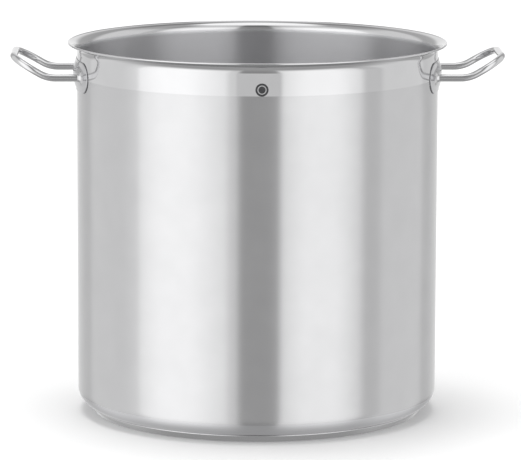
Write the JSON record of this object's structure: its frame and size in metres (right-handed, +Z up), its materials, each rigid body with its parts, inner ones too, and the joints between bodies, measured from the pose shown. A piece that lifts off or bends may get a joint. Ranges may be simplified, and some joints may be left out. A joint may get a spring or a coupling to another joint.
{
  "type": "stock pot",
  "caption": "Tall round stainless steel stock pot with an outward flared pouring rim, a sandwich base and a rising round-bar loop handle on each side.",
  "frame": {"origin": "centre of the underside of the base, on the surface that the pot stands on", "axes": "+Z up along the pot's axis, +X through the right handle, -Y towards the front"},
  "size_m": [0.548, 0.4226, 0.416],
  "materials": {
    "pot_steel": "satin brushed round the wall, polished band under the rim",
    "base_aluminium": "plain rolled sheet",
    "base_steel": "turned satin",
    "plate_steel": "polished",
    "rod_steel": "polished stainless bar",
    "weld_steel": "ground and polished fillet",
    "spot_steel": "bare spot weld"
  },
  "bodies": {
    "root": {"pot_shell": "pot_steel", "pot_rim": "pot_steel", "base_core": "base_aluminium", "base_cap": "base_steel", "left_handle_plate": "plate_steel", "right_handle_plate": "plate_steel", "left_handle_rod": "rod_steel", "right_handle_rod": "rod_steel", "left_rod_welds": "weld_steel", "right_rod_welds": "weld_steel", "left_spot_welds": "spot_steel", "right_spot_welds": "spot_steel"}
  },
  "joints": []
}
